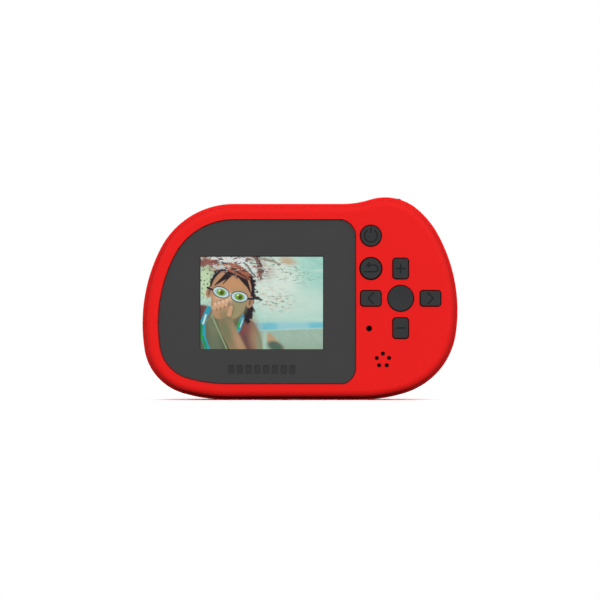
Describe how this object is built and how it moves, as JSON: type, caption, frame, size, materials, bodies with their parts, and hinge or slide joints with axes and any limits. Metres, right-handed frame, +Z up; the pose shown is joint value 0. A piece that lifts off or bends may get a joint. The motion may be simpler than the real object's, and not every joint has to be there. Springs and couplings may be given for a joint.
{
  "type": "kids digital camera",
  "caption": "Rounded toy compact camera with a back screen and key cluster, a front lens barrel, a top shutter hump, a hinged port door and a tripod thread.",
  "frame": {"origin": "on the tripod thread's axis, in the plane of the flat base", "axes": "+Z up, +X to the right as the user sees the screen, +Y the way the lens looks"},
  "size_m": [0.1051, 0.0355, 0.0675],
  "materials": {
    "battery": "satin film",
    "battery_leads": "matte",
    "battery_pad": "foam",
    "battery_plug": "satin",
    "board_screws": "satin",
    "card_socket": "brushed",
    "case_screws": "satin",
    "door_hinge_pin": "satin",
    "down_button": "satin",
    "down_switch_plunger": "matte",
    "flash_board": "satin",
    "flash_led": "satin",
    "flash_window": "clear",
    "front_cover": "glossy",
    "front_lens_element": "clear",
    "image_sensor": "satin",
    "ir_filter": "clear",
    "key_switches": "matte",
    "lcd_backlight": "glossy",
    "lcd_bracket": "matte",
    "lcd_flex_cable": "satin",
    "lcd_frame": "brushed",
    "lcd_glass": "clear",
    "left_button": "satin",
    "left_switch_plunger": "matte",
    "lens_baffle": "matte",
    "lens_barrel": "matte",
    "lens_holder": "matte",
    "lens_ring": "satin",
    "lens_window": "clear",
    "main_board": "satin",
    "memory_card": "satin",
    "microphone": "satin",
    "ok_button": "satin",
    "ok_switch_plunger": "matte",
    "port_door": "glossy",
    "power_button": "satin",
    "power_switch_plunger": "matte",
    "processor_chip": "satin",
    "rear_cover": "glossy",
    "rear_lens_element": "clear",
    "return_button": "satin",
    "return_switch_plunger": "matte",
    "right_button": "satin",
    "right_switch_plunger": "matte",
    "screen_surround": "satin",
    "screen_window": "clear",
    "shutter_button": "satin",
    "shutter_switch": "matte",
    "shutter_switch_plunger": "matte",
    "speaker": "satin",
    "speaker_leads": "matte",
    "speaker_mesh": "woven",
    "status_light": "translucent",
    "strap_pin": "satin",
    "tripod_insert": "machined",
    "up_button": "satin",
    "up_switch_plunger": "matte",
    "usb_socket": "brushed"
  },
  "bodies": {
    "camera_body": {"battery": "battery", "battery_leads": "battery_leads", "battery_pad": "battery_pad", "battery_plug": "battery_plug", "board_screws": "board_screws", "card_socket": "card_socket", "case_screws": "case_screws", "door_hinge_pin": "door_hinge_pin", "flash_board": "flash_board", "flash_led": "flash_led", "flash_window": "flash_window", "front_cover": "front_cover", "front_lens_element": "front_lens_element", "image_sensor": "image_sensor", "ir_filter": "ir_filter", "key_switches": "key_switches", "lcd_backlight": "lcd_backlight", "lcd_bracket": "lcd_bracket", "lcd_flex_cable": "lcd_flex_cable", "lcd_frame": "lcd_frame", "lcd_glass": "lcd_glass", "lens_baffle": "lens_baffle", "lens_barrel": "lens_barrel", "lens_holder": "lens_holder", "lens_ring": "lens_ring", "lens_window": "lens_window", "main_board": "main_board", "microphone": "microphone", "processor_chip": "processor_chip", "rear_cover": "rear_cover", "rear_lens_element": "rear_lens_element", "screen_surround": "screen_surround", "screen_window": "screen_window", "shutter_switch": "shutter_switch", "speaker": "speaker", "speaker_leads": "speaker_leads", "speaker_mesh": "speaker_mesh", "status_light": "status_light", "strap_pin": "strap_pin", "tripod_insert": "tripod_insert", "usb_socket": "usb_socket"},
    "power_key": {"power_button": "power_button", "power_switch_plunger": "power_switch_plunger"},
    "return_key": {"return_button": "return_button", "return_switch_plunger": "return_switch_plunger"},
    "up_key": {"up_button": "up_button", "up_switch_plunger": "up_switch_plunger"},
    "down_key": {"down_button": "down_button", "down_switch_plunger": "down_switch_plunger"},
    "left_key": {"left_button": "left_button", "left_switch_plunger": "left_switch_plunger"},
    "right_key": {"right_button": "right_button", "right_switch_plunger": "right_switch_plunger"},
    "ok_key": {"ok_button": "ok_button", "ok_switch_plunger": "ok_switch_plunger"},
    "shutter_key": {"shutter_button": "shutter_button", "shutter_switch_plunger": "shutter_switch_plunger"},
    "port_door": {"port_door": "port_door"},
    "memory_card": {"memory_card": "memory_card"}
  },
  "joints": [
    {"name": "power_press", "type": "slide", "parent": "camera_body", "child": "power_key", "axis": [0, 1, 0], "range_m": [0, 0.0005], "stiffness_N_per_m": 400},
    {"name": "return_press", "type": "slide", "parent": "camera_body", "child": "return_key", "axis": [0, 1, 0], "range_m": [0, 0.0005], "stiffness_N_per_m": 400},
    {"name": "up_press", "type": "slide", "parent": "camera_body", "child": "up_key", "axis": [0, 1, 0], "range_m": [0, 0.0005], "stiffness_N_per_m": 400},
    {"name": "down_press", "type": "slide", "parent": "camera_body", "child": "down_key", "axis": [0, 1, 0], "range_m": [0, 0.0005], "stiffness_N_per_m": 400},
    {"name": "left_press", "type": "slide", "parent": "camera_body", "child": "left_key", "axis": [0, 1, 0], "range_m": [0, 0.0005], "stiffness_N_per_m": 400},
    {"name": "right_press", "type": "slide", "parent": "camera_body", "child": "right_key", "axis": [0, 1, 0], "range_m": [0, 0.0005], "stiffness_N_per_m": 400},
    {"name": "ok_press", "type": "slide", "parent": "camera_body", "child": "ok_key", "axis": [0, 1, 0], "range_m": [0, 0.0005], "stiffness_N_per_m": 400},
    {"name": "shutter_press", "type": "slide", "parent": "camera_body", "child": "shutter_key", "axis": [0, 0, -1], "range_m": [0, 0.0006], "stiffness_N_per_m": 400},
    {"name": "port_door_hinge", "type": "hinge", "parent": "camera_body", "child": "port_door", "pos_m": [-0.0488, 0.0006, 0.0162], "axis": [0, -1, 0], "range_deg": [0, 110]},
    {"name": "memory_card_slide", "type": "slide", "parent": "camera_body", "child": "memory_card", "axis": [-1, 0, 0], "range_m": [-0.0006, 0.002]}
  ]
}
